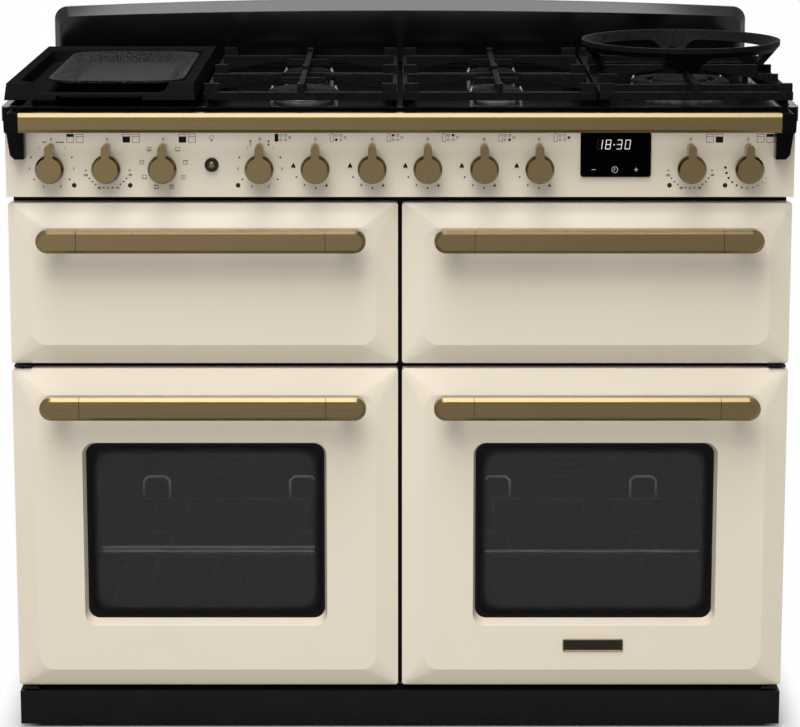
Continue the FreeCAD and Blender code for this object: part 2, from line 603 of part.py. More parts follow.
racks = pair(ladder(cavity[0], 1)) + pair(ladder(cavity[1], -1))
for level in (0, 2):
    z = rung_z + rung_pitch * level + (rung_r + shelf_r) * flat
    racks += pair(shelf(z))
    for x0 in (128.0, 354.0):
        racks += pair(stop_loop(x0, x0 + 44, z))
second_z = z + 2 * shelf_r * flat + 1      # the left oven's upper shelf has a second front wire
racks.append(wire(shelf_r, (-shelf_x[1], shelf_front, second_z), (-shelf_x[0], shelf_front, second_z)))
for x in (-shelf_x[1] + 12, -shelf_x[0] - 12):
    low, high = z + shelf_r * flat, second_z - shelf_r * flat
    racks.append(box(x - 2, x + 2, shelf_front - 1, shelf_front + 1, low, high))
save("oven_racks", *racks)

baffle = box(cavity[0] + 14, cavity[1] - 60, 438, 440, cavity[2] + 30, cavity[3] - 60)
for k in range(-3, 4):
    w = math.sqrt(60 ** 2 - (15 * k) ** 2)
    baffle = baffle.cut(box(fan_x - w, fan_x + w, 437, 441, fan_z + 15 * k - 3, fan_z + 15 * k + 3))
for xa in (cavity[0] + 24, cavity[1] - 84):
    for k in range(5):
        baffle = baffle.cut(box(xa, xa + 14, 437, 441, cavity[2] + 60 + 40 * k, cavity[2] + 80 + 40 * k))
posts = [cyl(4, (x, 440, z), (x, cavity_rear, z))
         for x in (cavity[0] + 20, cavity[1] - 66) for z in (cavity[2] + 38, cavity[3] - 68)]
save("fan_baffles", *pair(union([baffle] + posts)))


def fan(sign):
    x = sign * fan_x
    parts = [cyl(14, (x, 447, fan_z), (x, 462, fan_z)), cyl(70, (x, 460.5, fan_z), (x, 462, fan_z)),
             cyl(5, (x, 462, fan_z), (x, 500, fan_z))]
    for i in range(8):
        blade = box(x + 12, x + 70, 446, 461, fan_z - 0.75, fan_z + 0.75)
        blade.rotate(V(x, 0, fan_z), AY, 45 * i + 10)
        parts.append(blade)
    return union(parts)


save("left_fan", fan(-1))
save("right_fan", fan(1))
motor = cyl(34, (fan_x, 486, fan_z), (fan_x, 530, fan_z))
motor = motor.cut(cyl(5.06, (fan_x, 480, fan_z), (fan_x, 502, fan_z)))
stay = box(fan_x - 60, fan_x + 60, 480, 486, fan_z - 12, fan_z + 12)
stay = stay.cut(cyl(8, (fan_x, 470, fan_z), (fan_x, 490, fan_z)))
legs = [cyl(4, (fan_x + s * 54, cavity_rear + enamel, fan_z), (fan_x + s * 54, 480, fan_z)) for s in (-1, 1)]
save("fan_motors", *pair(union([motor, stay] + legs)))

seals = []
for b, r in ((cavity, 22), (slow_box, 20)):
    seal = slab_xz(b[0] - 9, b[1] + 9, b[2] - 9, b[3] + 9, r, 38.6, frame_face)
    seals.append(seal.cut(slab_xz(b[0] - 3, b[1] + 3, b[2] - 3, b[3] + 3, r - 6, 38, 43)))
save("door_seals", seals[0], mirrored(seals[0]), seals[1])


# ---- doors ----
def door_skin(x0, x1, zs, field, aperture=None):
    """A pressed door front: raised field, wide bevels, returned edges, hollow behind."""
    fx0, fx1, fz0, fz1 = field
    t, z0, z1 = skin, zs[0], zs[1]
    outer = lofted(loop_xz(x0, x1, z0, z1, 4, bevel), loop_xz(fx0, fx1, fz0, fz1, 22, 0))
    outer = outer.fuse(slab_xz(x0, x1, z0, z1, 4, bevel, door_back)).removeSplitter()
    inner = lofted(loop_xz(x0 + t, x1 - t, z0 + t, z1 - t, 2.5, bevel + t),
                   loop_xz(fx0, fx1, fz0, fz1, 21, t))
    inner = inner.fuse(slab_xz(x0 + t, x1 - t, z0 + t, z1 - t, 2.5, bevel + t, door_back + 1))
    pressed = outer.cut(inner.removeSplitter())
    if aperture:
        a, b, c, d = aperture
        lip_out = lofted(loop_xz(a - 5.5, b + 5.5, c - 9, d + 7, 20, 0),
                         loop_xz(a - 2, b + 2, c - 2, d + 2, 18, 18))
        lip_in = lofted(loop_xz(a - 3.5, b + 3.5, c - 7, d + 5, 18, -0.01), loop_xz(a, b, c, d, 16, 18))
        pressed = pressed.fuse(lip_out).removeSplitter().cut(lip_in)
    return pressed


left_x = (-door_span / 2, -door_gap / 2)
upper_field = (-519.0, -33.6, 565.5, 732.6)
lower_field = (-518.0, -34.0, 88.7, 493.3)
window_l = (-447.3, -107.8, 161.0, 419.0)


def handle(cx, cz):
    """Two rounded end caps, a straight middle bar and two standoffs."""
    h, x0, x1 = handle_height / 2, cx - handle_length / 2, cx + handle_length / 2
    solid = lofted(loop_xz(x0, x1, cz - h, cz + h, h - 0.01, handle_face + 5),
                   loop_xz(x0 + 5, x1 - 5, cz - h + 5, cz + h - 5, h - 5.01, handle_face))
    solid = solid.fuse(slab_xz(x0, x1, cz - h, cz + h, h - 0.01, handle_face + 5, handle_back))
    solid = solid.removeSplitter()
    cut_l, cut_r = x0 + handle_cap, x1 - handle_cap
    big = (-60, -20, cz - 40, cz + 40)
    end_caps = [solid.common(box(x0 - 5, cut_l, *big)), solid.common(box(cut_r, x1 + 5, *big))]
    middle = solid.common(box(cut_l + 0.4, cut_r - 0.4, *big))
    tenons = [cyl(7, (a, -39, cz), (a + 0.4, -39, cz)) for a in (cut_l, cut_r - 0.4)]
    standoffs = [cyl(9, (x, handle_back, cz), (x, 0, cz)) for x in (x0 + 28, x1 - 28)]
    return [end_caps[0].fuse(standoffs[0]), end_caps[1].fuse(standoffs[1]), union([middle] + tenons)]


left_skin = door_skin(left_x[0], left_x[1], lower_door, lower_field, window_l)
socket_bore = cyl(pin_bore_r, (-side_hinge_x, hinge_y, 60), (-side_hinge_x, hinge_y, 77))
top_bore = cyl(pin_bore_r, (-side_hinge_x, hinge_y, 515), (-side_hinge_x, hinge_y, 531))
for z0, z1 in ((lower_door[0] + 1, lower_door[0] + 16), (lower_door[1] - 16, lower_door[1] - 1)):
    left_skin = left_skin.fuse(box(-side_hinge_x - 11, -side_hinge_x + 9, 11.6, 29, z0, z1))
left_skin = left_skin.removeSplitter().cut(socket_bore).cut(top_bore)
save("left_door", left_skin)
save("right_door", mirrored(left_skin))

outer_glass = slab_xz(window_l[0] - 14, window_l[1] + 14, window_l[2] - 14, window_l[3] + 14, 14, 18, 22)
inner_glass = slab_xz(window_l[0] - 8, window_l[1] + 8, window_l[2] - 8, window_l[3] + 8, 14, 32, 36)
save("left_door_glass", outer_glass, inner_glass)
save("right_door_glass", mirrored(outer_glass), mirrored(inner_glass))


def door_liner(x0, x1, z0, z1, margin):
    """The pressed inner panel: a flat flange on the skin's returns and a raised pan."""
    m, y = margin, door_back
    pan = slab_xz(x0 + 1, x1 - 1, z0 + 1, z1 - 1, 3, y, y + 1.5)
    pan = pan.fuse(slab_xz(x0 + m, x1 - m, z0 + m, z1 - m, 12, y, liner_back)).removeSplitter()
    return pan.cut(slab_xz(x0 + m + 2, x1 - m - 2, z0 + m + 2, z1 - m - 2, 10, y - 1, liner_back - 2))


liner = door_liner(left_x[0], left_x[1], lower_door[0], lower_door[1], 20)
liner = liner.cut(slab_xz(window_l[0] + 14, window_l[1] - 14, window_l[2] + 12, window_l[3] - 12, 10, 30, 40))
frame_ring = slab_xz(window_l[0] - 16, window_l[1] + 16, window_l[2] - 16, window_l[3] + 16, 16, 22, 32)
frame_ring = frame_ring.cut(slab_xz(window_l[0] + 2, window_l[1] - 2, window_l[2], window_l[3], 12, 21, 33))
save("left_door_liner", liner, frame_ring)
save("right_door_liner", mirrored(liner), mirrored(frame_ring))

save("left_door_handle", *handle(-handle_x, lower_handle_z))
save("right_door_handle", *handle(handle_x, lower_handle_z))

drawer_skin = door_skin(left_x[0], left_x[1], upper_door, upper_field)
save("drawer_front", drawer_skin, door_liner(left_x[0], left_x[1], upper_door[0], upper_door[1], 20))
save("drawer_handle", *handle(-handle_x, upper_handle_z))

slow_skin = mirrored(door_skin(left_x[0], left_x[1], upper_door, upper_field))
for x in (61, 489):
    slow_skin = slow_skin.cut(box(x - 1, x + 6, bevel + 0.5, 31, 535, 545))
for xa, xb in ((67.5, 82), (475, 488.5)):
    block = box(xa, xb, 11.6, 26, 538.5, 561)
    slow_skin = slow_skin.fuse(block)
slow_skin = slow_skin.removeSplitter()
slow_skin = slow_skin.cut(cyl(pin_bore_r, (66, hy, hz), (78, hy, hz)))
slow_skin = slow_skin.cut(cyl(pin_bore_r, (479, hy, hz), (491, hy, hz)))
slow_liner = door_liner(-left_x[1], -left_x[0], upper_door[0], upper_door[1], 20)
for x in (61, 489):
    slow_liner = slow_liner.cut(box(x - 1, x + 6, 29, 39, 535, 561.5))
save("slow_door", slow_skin, slow_liner)
save("slow_door_handle", *handle(handle_x, upper_handle_z))

# ---- glide-out grill ----
rail_z = (640.0, 676.0)
fixed, member = [], []


def from_wall(side, a, b, y0, y1, z0, z1):
    """A bar whose faces lie a and b inward from the chamber's left (1) or right (-1) wall."""
    wall = grill_box[0] if side > 0 else grill_box[1]
    ends = sorted((wall + side * a, wall + side * b))
    return box(ends[0], ends[1], y0, y1, z0, z1)


carriage = []
for side in (1, -1):
    low, high = rail_z
    channel = from_wall(side, 0, 12, 60, 460, low, high)
    fixed.append(channel.cut(from_wall(side, 2, 13, 59, 461, low + 2, high - 2)))
    slider = from_wall(side, 3, 14, 62, 450, low + 3, high - 3)
    member.append(slider.cut(from_wall(side, 5, 15, 61, 451, low + 6, high - 6)))
    carriage.append(from_wall(side, 6, 22, 40, 440, low + 8, high - 8))
    carriage.append(from_wall(side, 18, 22, 38, 440, 600, low + 10))
    carriage.append(from_wall(side, 22, 50, 60, 430, 600, 604))
save("drawer_rails", *fixed)
save("runner_members", *member)
carriage.append(box(grill_box[0] + 18, grill_box[1] - 18, 38, 42, 600, 668))
carriage.append(box(grill_box[0] + 18, grill_box[1] - 18, 430, 434, 600, 612))
save("drawer_carriage", union(carriage))

px0, px1 = grill_box[0] + 30, grill_box[1] - 30
dish = lofted(loop_xz(px0 + 8, px1 - 8, 78, 414, 16, -604), loop_xz(px0, px1, 70, 422, 20, -638))
hollow = lofted(loop_xz(px0 + 10, px1 - 10, 80, 412, 14, -606), loop_xz(px0 + 2, px1 - 2, 72, 420, 18, -639))
dish.rotate(V(0, 0, 0), AX, -90)
hollow.rotate(V(0, 0, 0), AX, -90)
grid_z = 628.0
bar_z = grid_z - (rung_r + cross_r) * flat
trivet = []
for y in (84, 408):
    trivet.append(wire(rung_r, (px0 + 14, y, bar_z), (px1 - 14, y, bar_z)))
    for x in (px0 + 22, px1 - 22):
        trivet.append(wire(rung_r, (x, y, 606), (x, y, bar_z - rung_r * flat)))
for k in range(11):
    x = px0 + 22 + (px1 - px0 - 44) * k / 10.0
    trivet.append(wire(cross_r, (x, 80, grid_z), (x, 412, grid_z)))
save("grill_pan", dish.cut(hollow), *trivet)
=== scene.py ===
"""Looks of a 110 cm range cooker: finishes, printed dials, clock, lamps, glass and light.

Lengths are millimetres in the cooker's drawing frame, unless a comment says metres: X to the right,
Y to the back, Z up, the door field in the plane Y = 0 and the floor at Z = 0. row() turns them into
the frame's metres. The floor and the lamps are placed in the frame's metres.
"""
import json
import math

import bmesh
import bpy
from mathutils import Matrix, Vector


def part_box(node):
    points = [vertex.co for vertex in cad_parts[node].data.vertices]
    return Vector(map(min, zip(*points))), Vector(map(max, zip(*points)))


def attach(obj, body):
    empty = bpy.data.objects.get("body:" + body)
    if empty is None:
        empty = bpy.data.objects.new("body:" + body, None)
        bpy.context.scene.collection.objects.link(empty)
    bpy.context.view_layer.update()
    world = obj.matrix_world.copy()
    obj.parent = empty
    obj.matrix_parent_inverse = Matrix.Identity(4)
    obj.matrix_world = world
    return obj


MM = 0.001
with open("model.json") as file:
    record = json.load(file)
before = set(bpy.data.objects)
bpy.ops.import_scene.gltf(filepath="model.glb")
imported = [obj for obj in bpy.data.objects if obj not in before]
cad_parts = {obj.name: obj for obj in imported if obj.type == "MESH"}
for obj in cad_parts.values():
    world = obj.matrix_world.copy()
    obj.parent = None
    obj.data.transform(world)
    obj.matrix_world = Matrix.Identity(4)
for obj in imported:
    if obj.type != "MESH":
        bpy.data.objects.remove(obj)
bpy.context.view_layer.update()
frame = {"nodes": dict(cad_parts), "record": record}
nodes = frame["nodes"]
panel_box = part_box("control_panel")
origin = Vector(((panel_box[0].x + panel_box[1].x) / 2, panel_box[0].y, 0))


def row(x, y, z):
    """A point of the drawing frame, in the frame's metres."""
    return origin + Vector((x, y, z)) * MM


def middle_x(box):
    """The middle of a node's box, in the drawing frame."""
    return ((box[0].x + box[1].x) / 2 - origin.x) / MM


# ---- camera ----
CAMERA_PLACE = (0.0, -3942.9, 1400.1)
CAMERA_PITCH = 0.182            # radians below the horizontal
LENS, SENSOR = 128.76, 36.0
LENS_SHIFT = -0.11825
VIEW_END = 100                  # metres

# ---- printing on the panel ----
PANEL_FACE = 0.0                # plane of the control panel's front
INK = 0.15                      # thickness of the printing
DIAL_RISE = 1.2                 # the printed rings' centres lie this much above the knobs' axes
DIAL_R = 31.0                   # radius of the ring of marks round a knob
NUMBER_R = 33.2                 # the temperatures stand a little further out
ZERO_RISE = 37.8                # height of the zero mark above the ring's centre
DOT_R, FINE_DOT_R = 1.25, 1.15
ICON_LINE = 0.55                # width of the pictograms' lines
BURNER_LINE = 0.6               # width of the lines of burner rings and the lamp sign
ICON_INSET = 0.3                # a filled cell stays this far inside its frame
ZONE_ICON_X = 20.3              # left edge of a burner knob's hob plan, from the knob's axis
GRIDDLE_ICON_X = 20.8
OVEN_ICON_X = 21.5              # left edge of an oven knob's pair of boxes
SLOW_COOK_ICON_X = 12.0

# ---- neon lamps in the panel ----
NEON_X, NEON_Z = (-454.0, -376.0, -225.6, 375.5, 453.0), 793.0
NEON_R, NEON_RISE = 3.3, 1.4

# ---- clock ----
GLASS_FACE = -3.0               # plane of the clock glass's front
CLOCK_X = 300.0
DIGIT_HIGH, DIGIT_WIDE = 12.6, 6.4
DIGIT_LEAN = 0.12               # millimetres to the right for each millimetre up
DIGIT_STARTS = (-25.5, -13.9, 1.6, 13.2)    # left edges, from the middle of the clock
DIGIT_RISE = 30.7               # the digits' middle, above the dials' centres
CLOCK_STROKE = 0.95             # width of a lit segment
TOUCH_LINE = 0.42               # width of the touch signs' lines
TOUCH_DROP = 4.6                # the touch signs' middle, below the dials' centres

# ---- doors ----
WINDOW = (107.8, 447.3, 161.0, 419.0)       # right door's window: x, x, z, z
WINDOW_R = 16.0
BORDER_Y = 17.7                 # plane of the black print and the lip's painted shade, just in front of the outer glass
BORDER_BANDS = 8
BORDER_START, BORDER_WIDTH = -2.0, 19.0     # from the window's edge inwards
BORDER_EXTRA_R = 6.0            # the print's corners are this much rounder than the window's
BADGE = (233.5, 320.0, 116.4, 134.3)
BADGE_R = 2.2
BADGE_PROFILE = ((0, 0), (0, -1.6), (0.5, -2.0), (1.2, -2.0), (1.7, -1.5))      # inset and y
HANDLE_X, HANDLE_FACE, HANDLE_HEIGHT = 276.0, -50.0, 33.0
HANDLE_CHAMFER = 5.0
UPPER_HANDLE_Z, LOWER_HANDLE_Z = 720.8, 483.2
SEAM_X, SEAM_WIDTH = 172.5, 0.55            # a handle's seams: from its middle, and their width
SEAM_PROUD, SEAM_DEEP = 0.06, 0.1           # how far a seam stands out of the bar and sinks in

# ---- places read from the solids ----
KNOBS = {name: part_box(name) for name in nodes if name.startswith("knob_")}
KNOB_X = {name: middle_x(box) for name, box in KNOBS.items()}
KNOB_LOW, KNOB_HIGH = KNOBS["knob_grill"]
# A knob's axis is half its width above its lowest point, and the dial's centre a little higher.
DIAL_Z = (KNOB_LOW.z + (KNOB_HIGH.x - KNOB_LOW.x) / 2) / MM + DIAL_RISE
GRIDDLE_FLAT = 0.007            # the griddle's weave ends this high above its underside, metres


def colour(r, g, b):
    """Screen values from 0 to 255 as a linear colour."""
    out = []
    for value in (r, g, b):
        s = value / 255
        out.append(s / 12.92 if s <= 0.04045 else ((s + 0.055) / 1.055) ** 2.4)
    return (*out, 1)


def grey(level):
    """A linear grey."""
    return (level, level, level, 1)


def shade(base, factor):
    """A linear colour made darker or brighter."""
    return tuple(channel * factor for channel in base[:3]) + (1,)


CREAM = colour(236, 224, 203)
BRASS = colour(104, 88, 56)
BLACK = colour(9, 8, 9)
IRON = colour(15, 14, 15)


# ---- shader nodes ----
def combine(tree, operation, first, second):
    """A Math node's result; second is a socket or a number."""
    node = tree.nodes.new("ShaderNodeMath")
    node.operation = operation
    tree.links.new(first, node.inputs[0])
    if isinstance(second, float):
        node.inputs[1].default_value = second
    else:
        tree.links.new(second, node.inputs[1])
    return node.outputs[0]


def rescale(tree, source, given, wanted, kind="LINEAR"):
    """Maps source from the span given to the span wanted, and no further."""
    node = tree.nodes.new("ShaderNodeMapRange")
    node.interpolation_type = kind
    node.inputs["From Min"].default_value, node.inputs["From Max"].default_value = given
    node.inputs["To Min"].default_value, node.inputs["To Max"].default_value = wanted
    tree.links.new(source, node.inputs["Value"])
    return node.outputs["Result"]


def seen_rays(tree):
    """1 for camera, glossy and transmitted rays, and 0 for the rays that light things."""
    path = tree.nodes.new("ShaderNodeLightPath")
    total = path.outputs["Is Camera Ray"]
    for other in ("Is Glossy Ray", "Is Transmission Ray"):
        total = combine(tree, "MAXIMUM", total, path.outputs[other])
    return total


MIDDLE = (0.3, 0.7)             # the part of a noise's range that most of it lies in
PEAKS = (0.5, 0.7)              # the upper part, for sparse spots


class Finish:
    """A Principled material with procedural colour, roughness and relief."""

    def __init__(self, name, base, roughness, metallic=0.0, **sockets):
        self.material = bpy.data.materials.new(name)
        self.material.use_nodes = True
        self.tree = self.material.node_tree
        self.shader = self.tree.nodes["Principled BSDF"]
        self.set("Base Color", base)
        self.set("Roughness", roughness)
        self.set("Metallic", metallic)
        for key, value in sockets.items():
            self.set(key.replace("_", " "), value)

    def set(self, socket, value):
        self.shader.inputs[socket].default_value = value

    def add(self, kind, **values):
        node = self.tree.nodes.new("ShaderNode" + kind)
        for key, value in values.items():
            node.inputs[key.replace("_", " ")].default_value = value
        return node

    def link(self, source, target):
        self.tree.links.new(source, target)

    def position(self):
        """Coordinates fixed to the object, in metres."""
        return self.add("TexCoord").outputs["Object"]

    def pattern(self, kind, stretch=(1, 1, 1), **values):
        """A texture node fixed to the object, squeezed along each axis by stretch."""
        mapping = self.add("Mapping", Scale=stretch)
        self.link(self.position(), mapping.inputs["Vector"])
        node = self.add(kind, **values)
        self.link(mapping.outputs["Vector"], node.inputs["Vector"])
        return node

    def noise(self, scale, detail, stretch=(1, 1, 1)):
        return self.pattern("TexNoise", stretch, Scale=scale, Detail=detail).outputs["Fac"]

    def ramp(self, factor, span, first, last):
        """Maps factor's span onto the colours first to last."""
        node = self.add("ValToRGB")
        for element, position, value in zip(node.color_ramp.elements, span, (first, last)):
            element.position = position
            element.color = value
        self.link(factor, node.inputs["Fac"])
        return node.outputs["Color"]

    def tint(self, factor, first, last, span=MIDDLE):
        self.link(self.ramp(factor, span, first, last), self.shader.inputs["Base Color"])

    def gloss(self, factor, first, last):
        self.link(self.ramp(factor, MIDDLE, grey(first), grey(last)), self.shader.inputs["Roughness"])

    def sparkle(self, factor, level):
        """Lets only the high parts of factor reflect."""
        spots = self.ramp(factor, PEAKS, grey(0), grey(level))
        self.link(spots, self.shader.inputs["Specular IOR Level"])

    def relief(self, height, strength, depth, edge=1.2):
        """Bump from height, over edges rounded to the radius edge."""
        bevel = self.add("Bevel", Radius=edge * MM)
        bevel.samples = 4
        bump = self.add("Bump", Strength=strength, Distance=depth * MM)
        self.link(height, bump.inputs["Height"])
        self.link(bevel.outputs["Normal"], bump.inputs["Normal"])
        self.link(bump.outputs["Normal"], self.shader.inputs["Normal"])


# ---- finishes ----
def cream_enamel():
    made = Finish("cream_enamel", CREAM, 0.32, Coat_Weight=0.5, Coat_Roughness=0.12)
    made.tint(made.noise(7, detail=4), shade(CREAM, 0.985), CREAM)
    made.relief(made.noise(420, detail=2), strength=0.06, depth=0.2, edge=0.8)
    return made.material


def black_enamel(name, specular):
    made = Finish(name, BLACK, 0.12, Specular_IOR_Level=specular)
    made.tint(made.noise(30, detail=5), shade(BLACK, 0.6), BLACK)
    made.relief(made.noise(300, detail=2), strength=0.05, depth=0.2, edge=1.5)
    return made.material


def oven_enamel():
    """Dark grey enamel with fine pale specks."""
    made = Finish("oven_enamel", colour(24, 25, 27), 0.3, Specular_IOR_Level=0.3)
    speck = made.pattern("TexVoronoi", Scale=600.0).outputs["Distance"]
    made.tint(speck, colour(40, 41, 44), colour(17, 18, 20), span=(0.1, 0.2))
    made.relief(made.noise(300, detail=2), strength=0.08, depth=0.2)
    return made.material


def painted_black():
    made = Finish("black_satin_paint", colour(18, 18, 18), 0.4, Specular_IOR_Level=0.08)
    made.tint(made.noise(40, detail=4), colour(15, 15, 15), colour(20, 20, 20))
    made.relief(made.noise(900, detail=3), strength=0.12, depth=0.15)
    return made.material


def brass(name, stretch, streak_depth, dark):
    """Brushed brass: the streaks run along the axis that stretch leaves small."""
    made = Finish(name, BRASS, 0.3, metallic=1.0, Coat_Weight=0.32, Coat_Roughness=0.25)
    streaks = made.noise(1, 5, stretch)
    made.tint(streaks, dark, BRASS, span=(0.2, 0.6))
    made.gloss(streaks, 0.2, 0.3)
    made.relief(streaks, strength=0.2, depth=streak_depth, edge=0.5)
    return made.material


def cast_iron(name, base, grain, glint_fleck, sparkle):
    """Matt black iron; the grain's flecks are painted brighter than the rest, by the factor after grain,
    as painted glints.
    """
    made = Finish(name, base, 0.45, Specular_IOR_Level=0.0)
    # painted glints: the grain's bright flecks stand in for the iron's sparkle
    glint_flecks = made.noise(grain * 0.8, detail=2)
    made.tint(glint_flecks, base, shade(base, glint_fleck), span=(0.5, 0.75))
    made.sparkle(glint_flecks, sparkle)
    made.relief(made.noise(grain, detail=4), strength=0.5, depth=0.25, edge=1.8)
    return made.material


def griddle_coating():
    """Dark coating whose pale speckles are painted glints, pressed with a fine crossed weave on the flat
    bottom.
    """
    made = Finish("griddle_coating", IRON, 0.4, Specular_IOR_Level=0.0)
    waves = []
    for direction in ("X", "Y"):
        wave = made.pattern("TexWave", Scale=110.0)
        wave.bands_direction = direction
        waves.append(wave.outputs["Fac"])
    weave = combine(made.tree, "MULTIPLY", *waves)
    axes = made.add("SeparateXYZ")
    made.link(made.position(), axes.inputs[0])
    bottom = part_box("griddle_plate")[0].z + GRIDDLE_FLAT
    on_bottom = combine(made.tree, "LESS_THAN", axes.outputs["Z"], bottom)
    glint_flecks = made.noise(800, detail=2)
    made.sparkle(glint_flecks, 0.08)
    # painted glints: the pale speckle colour stands in for sparkle on the sloped walls
    glint_speckle = made.ramp(glint_flecks, (0.5, 0.75), shade(IRON, 0.8), colour(92, 90, 84))
    cross = made.ramp(weave, (0.05, 0.6), colour(24, 23, 22), colour(78, 75, 73))
    blend = made.add("Mix")
    blend.data_type = "RGBA"
    made.link(on_bottom, blend.inputs["Factor"])
    colours_in = [socket for socket in blend.inputs if socket.type == "RGBA"]
    for source, socket in zip((glint_speckle, cross), colours_in):
        made.link(source, socket)
    mixed = next(socket for socket in blend.outputs if socket.type == "RGBA")
    made.link(mixed, made.shader.inputs["Base Color"])
    made.relief(weave, strength=0.7, depth=0.5, edge=1.5)
    return made.material


def bare_metal(name, base, roughness, scale=60, metallic=1.0):
    made = Finish(name, base, roughness, metallic)
    patches = made.noise(scale, detail=4)
    made.tint(patches, shade(base, 0.8), base)
    made.gloss(patches, roughness * 0.8, roughness * 1.25)
    made.relief(patches, strength=0.1, depth=0.1, edge=0.5)
    return made.material


def zinc_sheet():
    """Galvanised sheet with its faint spangle."""
    made = Finish("galvanised_steel", colour(150, 153, 156), 0.38, metallic=0.9)
    spangle = made.pattern("TexVoronoi", Scale=140.0).outputs["Color"]
    made.tint(spangle, colour(142, 145, 148), colour(158, 161, 164), span=(0.1, 0.9))
    made.relief(made.noise(500, detail=2), strength=0.05, depth=0.1, edge=0.5)
    return made.material


def moulded(name, base, roughness, specular=0.2):
    """Plastic, rubber or another smooth dark surface."""
    made = Finish(name, base, roughness, Specular_IOR_Level=specular)
    made.tint(made.noise(90, detail=3), shade(base, 0.85), base)
    made.relief(made.noise(1400, detail=2), strength=0.15, depth=0.08, edge=0.4)
    return made.material


def tinted_glass():
    made = Finish("dark_glass", colour(22, 22, 24), 0.03, Specular_IOR_Level=0.6, Alpha=0.24)
    made.tint(made.noise(12, detail=2), colour(18, 18, 20), colour(22, 22, 24))
    made.relief(made.noise(9, detail=1), strength=0.02, depth=0.2, edge=0.6)
    return made.material


def printed(name, base, roughness=0.5, glow=0.0):
    """Matt ink, or lit signs where glow is more than 0."""
    made = Finish(name, base, roughness, Specular_IOR_Level=0.1)
    made.tint(made.noise(800, detail=2), shade(base, 0.9), base)
    if glow:
        made.set("Emission Color", base)
        made.set("Emission Strength", glow)
    return made.material


def border_material():
    """Black ink with the shade of the window's lip painted in: solid where the vertices' fade is 1 and
    clear where it is 0.
    """
    made = Finish("border_print_and_shade", colour(6, 6, 7), 0.5, Specular_IOR_Level=0.1)
    depth = made.add("Attribute")
    depth.attribute_name = "fade"
    opaque = made.ramp(depth.outputs["Fac"], (0.0, 0.75), grey(0), grey(1))
    made.link(opaque, made.shader.inputs["Alpha"])
    made.tint(made.noise(600, detail=2), colour(5, 5, 6), colour(8, 8, 9))
    return made.material


finish = {
    "cream_enamel": cream_enamel(),
    "black_gloss_enamel": black_enamel("black_gloss_enamel", 0.03),
    "black_satin_paint": painted_black(),
    "oven_enamel": oven_enamel(),
    "brushed_brass": brass("brushed_brass", (6, 700, 700), 0.02, colour(94, 78, 49)),
    "cast_iron": cast_iron("cast_iron", IRON, grain=1100, glint_fleck=6, sparkle=0.08),
    "griddle_coating": griddle_coating(),
    "galvanised_steel": zinc_sheet(),
    "burner_aluminium": bare_metal("burner_aluminium", colour(246, 246, 245), 0.25, metallic=0.45),
    "bright_wire": bare_metal("bright_wire", colour(200, 200, 202), 0.1, scale=20),
    "dark_glass": tinted_glass(),
    "display_glass": moulded("display_glass", colour(3, 3, 4), 0.08, specular=0.0),
    "seal_rubber": moulded("seal_rubber", colour(30, 30, 31), 0.7),
    "black_plastic": moulded("black_plastic", colour(16, 16, 17), 0.3),
    "element_steel": bare_metal("element_steel", colour(92, 84, 76), 0.45),
    "pan_enamel": moulded("pan_enamel", colour(20, 20, 22), 0.16),
}
knob_brass = brass("knob_brass", (1600, 1600, 1600), 0.005, colour(100, 84, 54))
upstand_enamel = black_enamel("upstand_enamel", 0.3)
cast_cradle = cast_iron("cradle_iron", colour(24, 23, 23), grain=1500, glint_fleck=1.4, sparkle=0.0)
ink = printed("dial_ink", colour(8, 7, 7))
white_light = printed("clock_light", colour(224, 226, 224), glow=0.5)
dim_light = printed("clock_dim", colour(34, 35, 38), glow=0.02)

special = {name: knob_brass for name in [*KNOBS, "light_button"]}
special.update(griddle_cradle=cast_cradle, rear_upstand=upstand_enamel)
for part in frame["record"]["subparts"]:
    target = nodes[part["node"]]
    target.data.materials.clear()
    target.data.materials.append(special.get(part["node"], finish[part["material_slot"]]))


# ---- tools for the small pieces ----
def finished_mesh(name, build, outwards=True):
    """The bmesh as a mesh, with its faces turned outwards where it is a closed solid."""
    if outwards:
        bmesh.ops.recalc_face_normals(build, faces=build.faces)
    mesh = bpy.data.meshes.new(name)
    build.to_mesh(mesh)
    build.free()
    return mesh


def piece(name, mesh, material, body):
    """A finished mesh as an object that rides on a body."""
    made = bpy.data.objects.new(name, mesh)
    bpy.context.scene.collection.objects.link(made)
    made.data.materials.append(material)
    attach(made, body)
    return made


def bridge(build, loops):
    """Joins each closed loop of vertices to the next one by a band of faces."""
    for outer, inner in zip(loops, loops[1:]):
        for i, vert in enumerate(outer):
            j = (i + 1) % len(outer)
            build.faces.new((vert, outer[j], inner[j], inner[i]))


def turns(sides):
    """The angles of a regular polygon's corners."""
    return [2 * math.pi * i / sides for i in range(sides)]


def rounded_outline(x0, x1, z0, z1, r, steps):
    """Points round a rectangle with rounded corners, anticlockwise from the lower right."""
    centres = ((x1 - r, z0 + r), (x1 - r, z1 - r), (x0 + r, z1 - r), (x0 + r, z0 + r))
    points = []
    for i, (cx, cz) in enumerate(centres):
        for k in range(steps + 1):
            t = math.pi / 2 * (i - 1 + k / steps)
            points.append((cx + r * math.cos(t), cz + r * math.sin(t)))
    return points


# The seven strokes of a digit: their ends from its middle at the left, in widths and half heights.
STROKES = {
    "a": ((0, 1), (1, 1)), "b": ((1, 1), (1, 0)), "c": ((1, 0), (1, -1)), "d": ((0, -1), (1, -1)),
    "e": ((0, 0), (0, -1)), "f": ((0, 1), (0, 0)), "g": ((0, 0), (1, 0)),
}
DIGITS = {"0": "abcdef", "1": "bc", "2": "abged", "3": "abgcd", "4": "fgbc", "6": "afgedc", "8": "abcdefg"}
